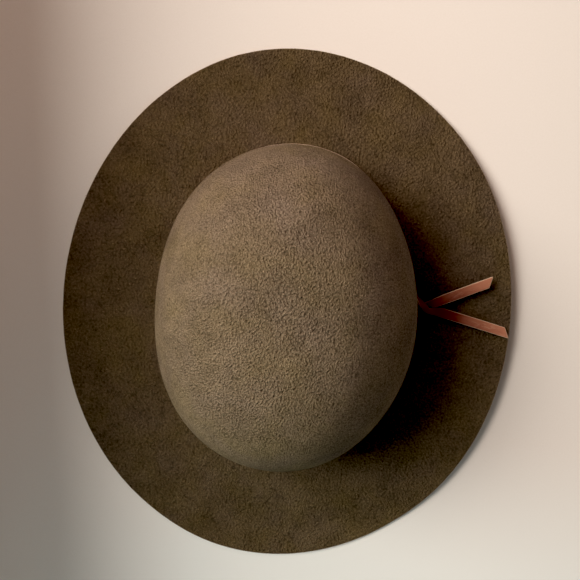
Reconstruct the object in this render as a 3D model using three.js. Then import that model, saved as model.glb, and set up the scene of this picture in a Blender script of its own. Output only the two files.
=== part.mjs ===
// A floppy hat of wool felt: an open round crown, a wide brim with a raw cut edge, and a thin
// leather lace tied round the foot of the crown with a half knot on the wearer's left.
// Millimetres, +Z up. The origin is on the surface that the hat rests on, under the middle of
// the brim. -Y is the front of the hat, and +X is the side with the knot. Angles run from +X
// towards +Y, in degrees.
import * as THREE from 'three';

// Felt: one blocked body, so the crown and the brim are one wall of one thickness.
const FELT_THICKNESS = 2.3;
const CUT_EDGE_ROUND = 0.45;

// Crown: an oval foot, and a wall that rounds over into an open dome.
const CROWN_HALF_WIDTH = 83.1;
const CROWN_HALF_LENGTH = 103.3;
const CROWN_HEIGHT = 108;
const CROWN_SQUARENESS = 2.45;
const CROWN_SHIFT_X = -1.15;
const CROWN_SHIFT_Y = 5.4;
const CROWN_TURN = 0.88;
const CROWN_WAVES = [
  { lobes: 3, swell: 0.71, turn: -16.1 },
  { lobes: 4, swell: 0.57, turn: -38.7 },
  { lobes: 5, swell: 0.38, turn: -2.9 },
];

// Soft hollows and swells of the crown: a place seen from above, the direction that the form
// lies in, its reach along and across that direction, and how far it pushes out.
const CROWN_DENTS = [
  { x: -6, y: 1, lie: 0, along: 34, across: 34, push: -1.6 },
  { x: -5, y: -31, lie: 0, along: 20, across: 14, push: 0.5 },
  { x: -39, y: -42, lie: -46, along: 22, across: 7, push: 0.8 },
];
const DENT_HEART_HEIGHT = 40;

// Fold: the small hollow round where the crown meets the brim.
const FOLD_HEIGHT = 10;
const FOLD_RADIUS = 2.5;

// Brim: nearly flat, lying on the surface at the front and the back and lifted at both sides.
const BRIM_HALF_WIDTH = 151.6;
const BRIM_HALF_LENGTH = 175.9;
const BRIM_SIDE_LIFT = 9;
const BRIM_END_DROP = 4.5;
const BRIM_CURVE = 1.5;
const BRIM_REST_SOFTNESS = 1.5;
const BRIM_WAVES = [
  { lobes: 3, swell: 0.36, turn: -6.8 },
  { lobes: 4, swell: 0.54, turn: -45 },
  { lobes: 5, swell: 0.44, turn: -34.6 },
];
const BRIM_RIPPLES = [
  { lobes: 3, swell: 0.3, turn: 0 },
  { lobes: 4, swell: 0.4, turn: 45 },
];

// Facets of the felt.
const FELT_SIDES = 80;
const CROWN_RINGS = 12;
const FOLD_RINGS = 3;
const BRIM_RINGS = 8;

// Lace: one flat leather strap. Its section has small bevels.
const LACE_WIDTH = 6.4;
const LACE_THICKNESS = 1.7;
const LACE_BEVEL = 0.35;
const LACE_GAP = 0.35;
const LACE_HEIGHT = 15.9;
const LACE_WAVES = [{ lobes: 1, swell: 0.5, turn: 60 }];
const LACE_BAND_FROM = 17;
const LACE_BAND_TO = 349;
const LACE_BAND_STEP = 4.5;
const LACE_KNOT_STEPS = 3;

// The two strands of the half knot, each from its free end to the foot of the crown. The
// front tail belongs to the strand that lies over the knot. stand is 0 where the strap lies
// flat and 90 where it stands on its edge against the wall.
const OVER_STRAND = [
  { x: 147.9, y: -0.8, z: 13.8, width: 6.4, stand: 0 },
  { x: 129, y: 3.4, z: 14, width: 6.4, stand: 0 },
  { x: 110, y: 7.6, z: 14.2, width: 6.4, stand: 0 },
  { x: 101, y: 9.5, z: 14.4, width: 6.2, stand: 0 },
  { x: 97, y: 9.4, z: 15, width: 5, stand: 0 },
  { x: 93.8, y: 9.6, z: 16.4, width: 4, stand: 0 },
  { x: 91.4, y: 11, z: 17.6, width: 4.2, stand: 5 },
  { x: 89.2, y: 13.2, z: 18.2, width: 4.6, stand: 25 },
  { x: 86.4, y: 16.4, z: 17.5, width: 5.2, stand: 55 },
  { x: 83.6, y: 21, z: 16.4, width: 6.2, stand: 85 },
];
const UNDER_STRAND = [
  { x: 132.5, y: 32.2, z: 17, width: 6.4, stand: 0 },
  { x: 122, y: 27.4, z: 17.1, width: 6.4, stand: 0 },
  { x: 111, y: 22.2, z: 17.2, width: 6.4, stand: 0 },
  { x: 101, y: 17.4, z: 17, width: 6.2, stand: 0 },
  { x: 97, y: 15.4, z: 16.2, width: 5, stand: 0 },
  { x: 93.9, y: 14.3, z: 14.9, width: 4, stand: 0 },
  { x: 91.6, y: 12.4, z: 14.1, width: 4.2, stand: 5 },
  { x: 89.4, y: 9.8, z: 13.6, width: 4.6, stand: 22 },
  { x: 86.8, y: 6.2, z: 14, width: 5.2, stand: 55 },
  { x: 84.5, y: 1, z: 15.2, width: 6.2, stand: 85 },
];
// How much further one edge of the strap reaches than the other at the diagonal cuts.
const FRONT_TAIL_SLANT = -5.1;
const BACK_TAIL_SLANT = 4.8;

const FELT = { name: 'felt', color: 0x6c5e48, roughness: 0.95, metalness: 0 };
const LEATHER = { name: 'leather', color: 0x9e5533, roughness: 0.55, metalness: 0 };

const UP = new THREE.Vector3(0, 0, 1);
const TINY_STEP = 1e-4;

function radians(degrees) {
  return THREE.MathUtils.degToRad(degrees);
}

// The sum of the gentle waves of a table at one angle.
function wavesAt(waves, angle) {
  let sum = 0;
  for (const { lobes, swell, turn } of waves) {
    sum += swell * Math.cos(lobes * radians(angle - turn));
  }
  return sum;
}

// A closed oval with waves in its outline, as a point in plan.
function oval(halfWidth, halfLength, waves, angle) {
  const swell = wavesAt(waves, angle);
  return new THREE.Vector2(
    (halfWidth + swell) * Math.cos(radians(angle)),
    (halfLength + swell) * Math.sin(radians(angle)),
  );
}

function brimEdge(angle) {
  return oval(BRIM_HALF_WIDTH, BRIM_HALF_LENGTH, BRIM_WAVES, angle);
}

const CROWN_MIDDLE = new THREE.Vector2(CROWN_SHIFT_X, CROWN_SHIFT_Y);

function crownFoot(angle) {
  const origin = new THREE.Vector2(0, 0);
  const foot = oval(CROWN_HALF_WIDTH, CROWN_HALF_LENGTH, CROWN_WAVES, angle);
  return foot.rotateAround(origin, radians(CROWN_TURN)).add(CROWN_MIDDLE);
}

// The crown's foot moved outwards, square to its outline.
function besideFoot(angle, distance) {
  const along = crownFoot(angle + TINY_STEP).sub(crownFoot(angle - TINY_STEP)).normalize();
  const outwards = new THREE.Vector2(along.y, -along.x);
  return crownFoot(angle).addScaledVector(outwards, distance);
}

function dentAt(x, y) {
  let push = 0;
  for (const dent of CROWN_DENTS) {
    const place = new THREE.Vector2(x - dent.x, y - dent.y);
    place.rotateAround(new THREE.Vector2(0, 0), -radians(dent.lie));
    push += dent.push * Math.exp(-((place.x / dent.along) ** 2) - (place.y / dent.across) ** 2);
  }
  return push;
}

// The crown's outer face. climb is 0 at the foot and 90 at the top, in degrees.
function crownFace(angle, climb) {
  const power = 2 / CROWN_SQUARENESS;
  const share = Math.max(Math.cos(radians(climb)), 0) ** power;
  const height = FOLD_HEIGHT + CROWN_HEIGHT * Math.sin(radians(climb)) ** power;
  const plan = CROWN_MIDDLE.clone().lerp(crownFoot(angle), share);
  const point = new THREE.Vector3(plan.x, plan.y, height);
  const heart = new THREE.Vector3(CROWN_MIDDLE.x, CROWN_MIDDLE.y, DENT_HEART_HEIGHT);
  const outwards = point.clone().sub(heart).normalize();
  return point.addScaledVector(outwards, dentAt(plan.x, plan.y));
}

// The climb at which the crown's wall reaches down to the fold.
const LOWEST_CLIMB = THREE.MathUtils.radToDeg(
  Math.asin((FOLD_RADIUS / CROWN_HEIGHT) ** (CROWN_SQUARENESS / 2)),
);

function foldFace(angle, share) {
  const bend = radians(180 + 90 * share);
  const plan = besideFoot(angle, FOLD_RADIUS * (1 + Math.cos(bend)));
  return new THREE.Vector3(plan.x, plan.y, FOLD_HEIGHT + FOLD_RADIUS * (1 + Math.sin(bend)));
}

// A height that bends softly into the resting surface and stays exactly 0 below it.
function settle(lift) {
  if (lift > BRIM_REST_SOFTNESS) {
    return lift;
  }
  if (lift < -BRIM_REST_SOFTNESS) {
    return 0;
  }
  return (lift + BRIM_REST_SOFTNESS) ** 2 / (4 * BRIM_REST_SOFTNESS);
}

function brimFace(angle, share) {
  const plan = besideFoot(angle, FOLD_RADIUS).lerp(brimEdge(angle), share);
  const footLift = FOLD_HEIGHT - FELT_THICKNESS;
  const sideways = Math.cos(radians(angle)) ** 2;
  const edgeLift = BRIM_SIDE_LIFT * sideways - BRIM_END_DROP * (1 - sideways)
    + wavesAt(BRIM_RIPPLES, angle);
  const lift = footLift + (edgeLift - footLift) * share ** BRIM_CURVE;
  return new THREE.Vector3(plan.x, plan.y, FELT_THICKNESS + settle(lift));
}

// The felt's upper face: along runs from 0 at the top of the crown, through 1 where the wall
// meets the fold and 2 where the fold meets the brim, to 3 at the cut edge.
function feltFace(angle, along) {
  if (along <= 1) {
    return crownFace(angle, 90 + (LOWEST_CLIMB - 90) * along);
  }
  if (along <= 2) {
    return foldFace(angle, along - 1);
  }
  return brimFace(angle, along - 2);
}

function feltNormal(angle, along) {
  const before = Math.max(along - TINY_STEP, TINY_STEP);
  const after = Math.min(along + TINY_STEP, 3);
  const outwards = feltFace(angle, after).sub(feltFace(angle, before));
  const around = feltFace(angle + TINY_STEP, along).sub(feltFace(angle - TINY_STEP, along));
  return outwards.cross(around).normalize();
}

// A point of the felt at a depth below its upper face. Felt that rests is flat underneath.
function inFelt(angle, along, depth) {
  const point = feltFace(angle, along).addScaledVector(feltNormal(angle, along), -depth);
  const onRest = Math.abs(point.z) < TINY_STEP;
  return onRest ? point.setZ(0) : point;
}

// The places along the felt's upper face that get a ring of points, from top to edge.
function feltRings() {
  const rings = [];
  for (let i = 1; i <= CROWN_RINGS; i += 1) {
    rings.push(i / CROWN_RINGS);
  }
  for (let i = 1; i <= FOLD_RINGS; i += 1) {
    rings.push(1 + i / FOLD_RINGS);
  }
  for (let i = 1; i <= BRIM_RINGS; i += 1) {
    rings.push(2 + i / BRIM_RINGS);
  }
  return rings;
}

// A closed solid from rings of points between two poles. Each ring runs from +X to +Y.
function solidFromRings(firstPole, rings, lastPole) {
  const sides = rings[0].length;
  const points = [firstPole, ...rings.flat(), lastPole];
  const triangles = [];
  const place = (ring, side) => 1 + ring * sides + (side % sides);
  for (let side = 0; side < sides; side += 1) {
    triangles.push(0, place(0, side), place(0, side + 1));
    for (let ring = 0; ring + 1 < rings.length; ring += 1) {
      const a = place(ring, side);
      const b = place(ring + 1, side);
      const c = place(ring + 1, side + 1);
      const d = place(ring, side + 1);
      triangles.push(a, b, c, a, c, d);
    }
    const last = rings.length - 1;
    triangles.push(place(last, side), points.length - 1, place(last, side + 1));
  }
  const geometry = new THREE.BufferGeometry();
  geometry.setFromPoints(points);
  geometry.setIndex(triangles);
  geometry.computeVertexNormals();
  return geometry;
}

function feltGeometry() {
  const angles = Array.from({ length: FELT_SIDES }, (_, i) => (360 * i) / FELT_SIDES);
  const ringAt = (along, depth) => angles.map((angle) => inFelt(angle, along, depth));
  const stations = feltRings();
  const edge = stations.pop();
  const upper = stations.map((along) => ringAt(along, 0));
  const cut = [CUT_EDGE_ROUND, FELT_THICKNESS - CUT_EDGE_ROUND];
  const rim = edge - CUT_EDGE_ROUND / (BRIM_HALF_WIDTH - CROWN_HALF_WIDTH);
  const rings = [
    ...upper,
    ringAt(rim, 0),
    ...cut.map((depth) => ringAt(edge, depth)),
    ringAt(rim, FELT_THICKNESS),
    ...stations.reverse().map((along) => ringAt(along, FELT_THICKNESS)),
  ];
  const top = crownFace(0, 90);
  const topInside = top.clone().setZ(top.z - FELT_THICKNESS);
  return solidFromRings(top, rings, topInside);
}

// Rows smoothed by a Catmull-Rom curve in every column.
function smoothRows(rows, steps) {
  const columns = Object.keys(rows[0]);
  const smooth = [];
  for (let i = 0; i + 1 < rows.length; i += 1) {
    const before = rows[Math.max(i - 1, 0)];
    const after = rows[Math.min(i + 2, rows.length - 1)];
    for (let step = 0; step < steps; step += 1) {
      const t = step / steps;
      const row = {};
      for (const column of columns) {
        const start = rows[i][column];
        const end = rows[i + 1][column];
        const startSlope = (end - before[column]) / 2;
        const endSlope = (after[column] - start) / 2;
        row[column] = start * (1 - 3 * t ** 2 + 2 * t ** 3) + end * (3 * t ** 2 - 2 * t ** 3)
          + startSlope * (t - 2 * t ** 2 + t ** 3) + endSlope * (t ** 3 - t ** 2);
      }
      smooth.push(row);
    }
  }
  smooth.push(rows[rows.length - 1]);
  return smooth;
}

// The stretch of the lace that lies against the crown, standing on its edge.
function bandRows() {
  const count = Math.round((LACE_BAND_TO - LACE_BAND_FROM) / LACE_BAND_STEP);
  const rows = [];
  for (let i = 0; i <= count; i += 1) {
    const angle = LACE_BAND_FROM + ((LACE_BAND_TO - LACE_BAND_FROM) * i) / count;
    const plan = besideFoot(angle, LACE_GAP + LACE_THICKNESS / 2);
    const z = LACE_HEIGHT + wavesAt(LACE_WAVES, angle);
    rows.push({ x: plan.x, y: plan.y, z, width: LACE_WIDTH, stand: 90 });
  }
  return rows;
}

// The whole lace in one run: front tail, knot, once round the crown, knot, back tail.
function laceRows() {
  const band = bandRows();
  const over = smoothRows([...OVER_STRAND, band[0]], LACE_KNOT_STEPS);
  const under = smoothRows([...UNDER_STRAND, band[band.length - 1]], LACE_KNOT_STEPS);
  return [...over, ...band.slice(1), ...under.reverse().slice(1)];
}

// The corners of the strap's section, across its width and through its thickness.
function laceSection(width) {
  const across = width / 2;
  const through = LACE_THICKNESS / 2;
  return [
    [across, through - LACE_BEVEL],
    [across - LACE_BEVEL, through],
    [LACE_BEVEL - across, through],
    [-across, through - LACE_BEVEL],
    [-across, LACE_BEVEL - through],
    [LACE_BEVEL - across, -through],
    [across - LACE_BEVEL, -through],
    [across, LACE_BEVEL - through],
  ];
}

function laceGeometry() {
  const rows = laceRows();
  const centres = rows.map((row) => new THREE.Vector3(row.x, row.y, row.z));
  const last = rows.length - 1;
  const rings = rows.map((row, i) => {
    const ahead = centres[Math.min(i + 1, last)];
    const along = ahead.clone().sub(centres[Math.max(i - 1, 0)]).normalize();
    const side = UP.clone().cross(along).normalize();
    const over = along.clone().cross(side);
    const stand = radians(row.stand);
    const across = side.clone().multiplyScalar(Math.cos(stand))
      .addScaledVector(over, Math.sin(stand));
    const through = across.clone().cross(along);
    let slant = 0;
    if (i === 0) {
      slant = FRONT_TAIL_SLANT;
    } else if (i === last) {
      slant = BACK_TAIL_SLANT;
    }
    return laceSection(row.width).map(([acrossBy, throughBy]) => centres[i].clone()
      .addScaledVector(across, acrossBy)
      .addScaledVector(through, throughBy)
      .addScaledVector(along, (slant * acrossBy) / row.width));
  });
  return solidFromRings(centres[0], rings, centres[last]);
}

function namedMesh(name, geometry, finish) {
  const mesh = new THREE.Mesh(geometry, new THREE.MeshStandardMaterial(finish));
  mesh.name = name;
  return mesh;
}

const hat = new THREE.Group();
hat.name = 'floppy_hat';
hat.add(namedMesh('felt_body', feltGeometry(), FELT));
hat.add(namedMesh('leather_lace', laceGeometry(), LEATHER));

export default hat;
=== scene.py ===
"""A floppy hat of wool felt with a leather lace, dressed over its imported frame.

Metres, +Z up. -Y is the front of the hat and +X the side with the knot. Angles run from +X
towards +Y, in radians unless a name says degrees.
"""

import logging
import math
from dataclasses import astuple, dataclass, fields, replace
from enum import Enum
from functools import partial
from typing import Dict, List, Optional, Sequence, Tuple, Union

import bpy
import numpy as np
from bpy.types import Material, Mesh, Node, NodeSocket, NodeTree, Object
from mathutils import Matrix, Vector


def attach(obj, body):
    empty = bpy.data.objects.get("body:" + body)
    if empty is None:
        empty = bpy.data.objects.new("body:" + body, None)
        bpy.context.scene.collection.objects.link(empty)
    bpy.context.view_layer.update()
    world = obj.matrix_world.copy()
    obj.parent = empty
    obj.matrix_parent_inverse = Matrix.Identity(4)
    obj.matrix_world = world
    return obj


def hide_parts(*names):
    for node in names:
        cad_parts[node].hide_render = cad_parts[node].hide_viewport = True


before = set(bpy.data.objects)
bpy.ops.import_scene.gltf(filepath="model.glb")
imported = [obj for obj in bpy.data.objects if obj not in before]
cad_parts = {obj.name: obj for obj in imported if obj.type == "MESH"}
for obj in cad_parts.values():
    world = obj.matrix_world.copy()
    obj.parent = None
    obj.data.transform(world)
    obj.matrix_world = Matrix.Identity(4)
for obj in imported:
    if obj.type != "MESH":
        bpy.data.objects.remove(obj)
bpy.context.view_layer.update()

BODY = "root"
MM = 0.001
QUARTER = math.pi / 2
OUTLINE_STEP = 0.01
NODES_IN_A_COLUMN = 12
NODE_STEP = (200, -180)
log = logging.getLogger("floppy_hat")


class Op(Enum):
    """The operations of the Math node that the trees use."""

    ADD = "ADD"
    SUBTRACT = "SUBTRACT"
    MULTIPLY = "MULTIPLY"
    DIVIDE = "DIVIDE"
    POWER = "POWER"
    EXPONENT = "EXPONENT"
    SQUARE_ROOT = "SQRT"
    COSINE = "COSINE"
    SINE = "SINE"
    ARCSINE = "ARCSINE"
    ARCTANGENT = "ARCTAN2"
    SIGN = "SIGN"
    ABSOLUTE = "ABSOLUTE"
    MINIMUM = "MINIMUM"
    MAXIMUM = "MAXIMUM"


class InputKind(Enum):
    """The kinds of input that a geometry tree offers."""

    GEOMETRY = "NodeSocketGeometry"
    LENGTH = "NodeSocketFloat"
    COUNT = "NodeSocketInt"
    FINISH = "NodeSocketMaterial"


class Kind(Enum):
    """What an attribute holds at each point."""

    NUMBER = "FLOAT"
    COUNT = "INT"
    VECTOR = "FLOAT_VECTOR"


class Domain(Enum):
    """What a stored attribute belongs to."""

    POINT = "POINT"
    INSTANCE = "INSTANCE"


class Island(Enum):
    """The two islands of the felt's pattern."""

    GUIDE = 0
    WALL = 1


class Field:
    """A number in a node tree that takes ordinary arithmetic."""

    def __init__(self, tree: NodeTree, socket: NodeSocket) -> None:
        """Keeps the tree and the socket that the number comes from."""
        self.tree = tree
        self.socket = socket

    def run(self, operation: Op, *others: "Value") -> "Field":
        """Puts this number and others through one Math node.

        Args:
            operation: What the node does.
            others: The node's further numbers.

        Returns:
            The node's result.
        """
        node = add_node(self.tree, "ShaderNodeMath", operation=operation.value)
        for slot, value in zip(node.inputs, (self, *others)):
            feed(self.tree, value, slot)
        return Field(self.tree, node.outputs[0])

    def __add__(self, other: "Value") -> "Field":
        """This number plus another."""
        return self.run(Op.ADD, other)

    def __mul__(self, other: "Value") -> "Field":
        """This number times another."""
        return self.run(Op.MULTIPLY, other)

    __radd__ = __add__
    __rmul__ = __mul__

    def __sub__(self, other: "Value") -> "Field":
        """This number less another."""
        return self.run(Op.SUBTRACT, other)

    def __rsub__(self, other: "Value") -> "Field":
        """Another number less this one."""
        return self.run(Op.MULTIPLY, -1.0) + other

    def __truediv__(self, other: "Value") -> "Field":
        """This number over another."""
        return self.run(Op.DIVIDE, other)

    def __rtruediv__(self, other: "Value") -> "Field":
        """Another number over this one."""
        return self.run(Op.POWER, -1.0) * other

    def __pow__(self, other: "Value") -> "Field":
        """This number to a power."""
        return self.run(Op.POWER, other)


Value = Union[float, Field]
Point2 = Tuple[Value, Value]
Point3 = Tuple[Value, Value, Value]
Colour = Tuple[float, float, float]

AT_ONCE = {
    Op.COSINE: math.cos,
    Op.SINE: math.sin,
    Op.ARCSINE: math.asin,
    Op.EXPONENT: math.exp,
    Op.SQUARE_ROOT: math.sqrt,
}


def work_out(operation: Op, value: Value) -> Value:
    """One operation on a number, in its tree or at once."""
    return value.run(operation) if isinstance(value, Field) else AT_ONCE[operation](value)


cosine = partial(work_out, Op.COSINE)
sine = partial(work_out, Op.SINE)
arcsine = partial(work_out, Op.ARCSINE)
exponential = partial(work_out, Op.EXPONENT)
square_root = partial(work_out, Op.SQUARE_ROOT)


def between(value: Value, low: Value, high: Value) -> Value:
    """A number held between two others, in its tree or at once."""
    is_field = isinstance(value, Field)
    return value.run(Op.MAXIMUM, low).run(Op.MINIMUM, high) if is_field else min(max(value, low), high)


def unit(value: Value) -> Value:
    """A number held between 0 and 1."""
    return between(value, 0.0, 1.0)


def ramp(value: Value, start: float, rate: float, most: float = 1.0) -> Value:
    """A share that is 0 up to a start and then grows at a rate, up to a most."""
    return between((value - start) * rate, 0.0, most)


def blend(start: Value, end: Value, share: Value) -> Value:
    """The number that lies a share of the way from start to end."""
    return start + (end - start) * share


def add_node(tree: NodeTree, kind: str, **settings: object) -> Node:
    """Adds a node to a tree, in the next free place of its sheet.

    Args:
        tree: The tree.
        kind: The node's type.
        settings: The node's own properties, by name.

    Returns:
        The node.
    """
    column, row = divmod(len(tree.nodes), NODES_IN_A_COLUMN)
    node = tree.nodes.new(kind)
    node.location = (NODE_STEP[0] * column, NODE_STEP[1] * row)
    for name, value in settings.items():
        setattr(node, name, value)
    return node


def feed(tree: NodeTree, value: object, socket: NodeSocket) -> None:
    """Links a field or a socket to an input, or sets the input to a plain value.

    Args:
        tree: The tree that holds the input.
        value: A Field, a socket or a plain value.
        socket: The input.
    """
    source = value.socket if isinstance(value, Field) else value
    if isinstance(source, NodeSocket):
        tree.links.new(source, socket)
    else:
        socket.default_value = source


def first_socket(sockets: Sequence[NodeSocket], name: str) -> NodeSocket:
    """The first of a node's sockets that has a name and is in use."""
    return next(socket for socket in sockets if socket.name == name and socket.enabled)


class NodeSheet:
    """A node tree with short calls for adding nodes."""

    tree: NodeTree
    place: Optional[NodeSocket] = None

    def add(self, kind: str, inputs: Optional[Dict[str, object]] = None, **settings: object) -> Node:
        """Adds a node and feeds its inputs.

        Args:
            kind: The node's type.
            inputs: What goes into it, by socket name.
            settings: The node's own properties.

        Returns:
            The node.
        """
        node = add_node(self.tree, kind, **settings)
        for name, value in (inputs or {}).items():
            feed(self.tree, value, first_socket(node.inputs, name))
        return node

    def split(self, vector: NodeSocket) -> List[Field]:
        """A vector's three numbers."""
        parts = self.add("ShaderNodeSeparateXYZ", {"Vector": vector})
        return [Field(self.tree, parts.outputs[axis]) for axis in "XYZ"]

    def noise(
        self,
        scale: float,
        detail: float = 2.0,
        rough: float = 0.5,
        twist: float = 0.0,
        place: Optional[NodeSocket] = None,
        seed: Optional[Value] = None,
    ) -> Field:
        """A smooth random pattern about 0, from -0.5 to 0.5.

        Args:
            scale: Features to the metre.
            detail: How many finer layers it has.
            rough: How strong the finer layers are.
            twist: How far it swirls.
            place: The coordinates, or the sheet's own if none are given.
            seed: A number that changes the pattern, if it is to change.

        Returns:
            The pattern.
        """
        inputs = {"Scale": scale, "Detail": detail, "Roughness": rough, "Distortion": twist}
        extra = {"Vector": self.place if place is None else place, "W": seed}
        inputs.update({name: value for name, value in extra.items() if value is not None})
        dimensions = "3D" if seed is None else "4D"
        node = self.add("ShaderNodeTexNoise", inputs, noise_dimensions=dimensions)
        return Field(self.tree, node.outputs[0]) - 0.5


class GeometryTree(NodeSheet):
    """A geometry node tree with named inputs, run once on a mesh."""

    def __init__(self, name: str) -> None:
        """Starts a tree that takes and gives a mesh.

        Args:
            name: The tree's name.
        """
        self.tree = bpy.data.node_groups.new(name, "GeometryNodeTree")
        self.values: Dict[str, object] = {}
        self.identifiers: Dict[str, str] = {}
        self.tree.interface.new_socket(
            name="Geometry", in_out="OUTPUT", socket_type=InputKind.GEOMETRY.value
        )
        self.source = add_node(self.tree, "NodeGroupInput")
        self.mesh = self.offer("Geometry", InputKind.GEOMETRY)

    def offer(self, name: str, kind: InputKind, value: object = None) -> NodeSocket:
        """Adds a named input to the tree.

        Args:
            name: The input's name.
            kind: What it takes.
            value: What it is set to when the tree runs.

        Returns:
            The socket that gives the input inside the tree.
        """
        item = self.tree.interface.new_socket(name=name, in_out="INPUT", socket_type=kind.value)
        self.identifiers[name] = item.identifier
        if value is not None:
            self.values[name] = value
        return self.source.outputs[name]

    def length(self, name: str, value: float) -> Field:
        """Adds a named number to the tree's inputs."""
        return Field(self.tree, self.offer(name, InputKind.LENGTH, value))

    def attribute(self, name: str, kind: Kind = Kind.NUMBER) -> NodeSocket:
        """The socket that gives a named attribute of the mesh."""
        node = self.add("GeometryNodeInputNamedAttribute", {"Name": name}, data_type=kind.value)
        return first_socket(node.outputs, "Attribute")

    def number(self, name: str) -> Field:
        """A named attribute of the mesh as a number."""
        return Field(self.tree, self.attribute(name))

    def position(self) -> NodeSocket:
        """Where each point is."""
        return self.add("GeometryNodeInputPosition").outputs[0]

    def normal(self) -> NodeSocket:
        """The way that the surface faces at each point."""
        return self.add("GeometryNodeInputNormal").outputs[0]

    def vector(self, x: Value, y: Value, z: Value) -> NodeSocket:
        """Three numbers as one vector."""
        return self.add("ShaderNodeCombineXYZ", {"X": x, "Y": y, "Z": z}).outputs[0]

    def scaled(self, vector: NodeSocket, by: Value) -> NodeSocket:
        """A vector times a number."""
        inputs = {"Vector": vector, "Scale": by}
        return self.add("ShaderNodeVectorMath", inputs, operation="SCALE").outputs[0]

    def sum(self, *vectors: NodeSocket) -> NodeSocket:
        """The sum of vectors.

        Args:
            vectors: The vectors.

        Returns:
            Their sum.
        """
        total = vectors[0]
        for vector in vectors[1:]:
            node = add_node(self.tree, "ShaderNodeVectorMath", operation="ADD")
            feed(self.tree, total, node.inputs[0])
            feed(self.tree, vector, node.inputs[1])
            total = node.outputs[0]
        return total

    def put(self, mesh: NodeSocket, place: NodeSocket) -> NodeSocket:
        """A mesh with its points put at new places."""
        return self.add("GeometryNodeSetPosition", {"Geometry": mesh, "Position": place}).outputs[0]

    def shift(self, mesh: NodeSocket, offset: NodeSocket) -> NodeSocket:
        """A mesh with its points moved by an offset."""
        return self.add("GeometryNodeSetPosition", {"Geometry": mesh, "Offset": offset}).outputs[0]

    def at_point(self, mesh: NodeSocket, vector: NodeSocket, index: NodeSocket) -> NodeSocket:
        """Reads a vector of a mesh at one of its points.

        Args:
            mesh: The mesh.
            vector: What is read.
            index: The point's index.

        Returns:
            The vector there.
        """
        inputs = {"Geometry": mesh, "Value": vector, "Index": index}
        node = self.add("GeometryNodeSampleIndex", inputs, data_type=Kind.VECTOR.value)
        return first_socket(node.outputs, "Value")

    def along_curve(self, curve: NodeSocket, name: str, kind: Kind, share: Field) -> Node:
        """The node that reads a named attribute of a curve, a share of the way along it."""
        inputs = {"Curves": curve, "Value": self.attribute(name, kind), "Factor": share}
        return self.add("GeometryNodeSampleCurve", inputs, mode="FACTOR", data_type=kind.value)

    def store(
        self,
        mesh: NodeSocket,
        name: str,
        value: object,
        kind: Kind = Kind.NUMBER,
        domain: Domain = Domain.POINT,
    ) -> NodeSocket:
        """Keeps a value as a named attribute.

        Args:
            mesh: The mesh or the instances.
            name: The attribute's name.
            value: The value.
            kind: What the attribute holds.
            domain: What it belongs to.

        Returns:
            The mesh with the attribute.
        """
        inputs = {"Geometry": mesh, "Name": name, "Value": value}
        settings = {"data_type": kind.value, "domain": domain.value}
        return self.add("GeometryNodeStoreNamedAttribute", inputs, **settings).outputs[0]

    def run(self, mesh: Mesh, result: NodeSocket, name: str, finish: Material) -> Object:
        """Ends the tree, runs it on a mesh and keeps the result as a plain mesh.

        Args:
            mesh: What goes in.
            result: The socket with what comes out.
            name: The new piece's name.
            finish: The new piece's material.

        Returns:
            The piece, with no modifier on it.
        """
        material = self.offer("Finish", InputKind.FINISH, finish)
        realized = self.add("GeometryNodeRealizeInstances", {"Geometry": result}).outputs[0]
        smooth = self.add("GeometryNodeSetShadeSmooth", {"Geometry": realized}).outputs[0]
        inputs = {"Geometry": smooth, "Material": material}
        dressed = self.add("GeometryNodeSetMaterial", inputs).outputs[0]
        end = add_node(self.tree, "NodeGroupOutput")
        self.tree.links.new(dressed, end.inputs[0])
        carrier = show(name + "_pattern", mesh)
        modifier = carrier.modifiers.new("form", "NODES")
        modifier.node_group = self.tree
        for label, value in self.values.items():
            modifier[self.identifiers[label]] = value
        graph = bpy.context.evaluated_depsgraph_get()
        made = bpy.data.meshes.new_from_object(
            carrier.evaluated_get(graph), preserve_all_data_layers=True, depsgraph=graph
        )
        carrier.modifiers.remove(modifier)
        bpy.data.objects.remove(carrier)
        made.name = name
        return show(name, made)


def show(name: str, data: object) -> Object:
    """Makes an object of a mesh, a lamp's light or a camera's lens, and puts it in the scene.

    Args:
        name: The object's name.
        data: What it shows.

    Returns:
        The object.
    """
    item = bpy.data.objects.new(name, data)
    bpy.context.scene.collection.objects.link(item)
    return item


def mesh_from(
    name: str,
    points: np.ndarray,
    faces: Sequence[Sequence[int]],
    edges: Sequence[Tuple[int, int]] = (),
) -> Mesh:
    """Makes a mesh from points and faces or edges.

    Args:
        name: The mesh's name.
        points: One row of three numbers for each point.
        faces: Each face's points, in order.
        edges: Edges that no face has.

    Returns:
        The mesh.
    """
    mesh = bpy.data.meshes.new(name)
    mesh.from_pydata([tuple(row) for row in points.tolist()], list(edges), [list(f) for f in faces])
    mesh.update()
    return mesh


def keep_attribute(mesh: Mesh, name: str, values: np.ndarray, kind: Kind = Kind.NUMBER) -> None:
    """Writes one value for each point of a mesh.

    Args:
        mesh: The mesh.
        name: The attribute's name.
        values: One number or vector for each point.
        kind: What the attribute holds.
    """
    attribute = mesh.attributes.new(name, kind.value, "POINT")
    slot = "vector" if kind is Kind.VECTOR else "value"
    as_type = np.int32 if kind is Kind.COUNT else np.float32
    attribute.data.foreach_set(slot, np.asarray(values, as_type).ravel())


def settle_piece(piece: Object, slot: str, *nodes: str) -> Object:
    """Lets a piece ride on the hat's one body and stand for CAD nodes.

    Args:
        piece: The piece, with its place in its mesh.
        slot: Not used.
        nodes: The CAD nodes that it stands for.

    Returns:
        The piece.
    """
    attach(piece, BODY)
    if nodes:
        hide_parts(*nodes)
    triangles = sum(len(face.vertices) - 2 for face in piece.data.polygons)
    log.info("%s: %d triangles, stands for %s", piece.name, triangles, ", ".join(nodes) or "nothing")
    return piece


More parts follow.
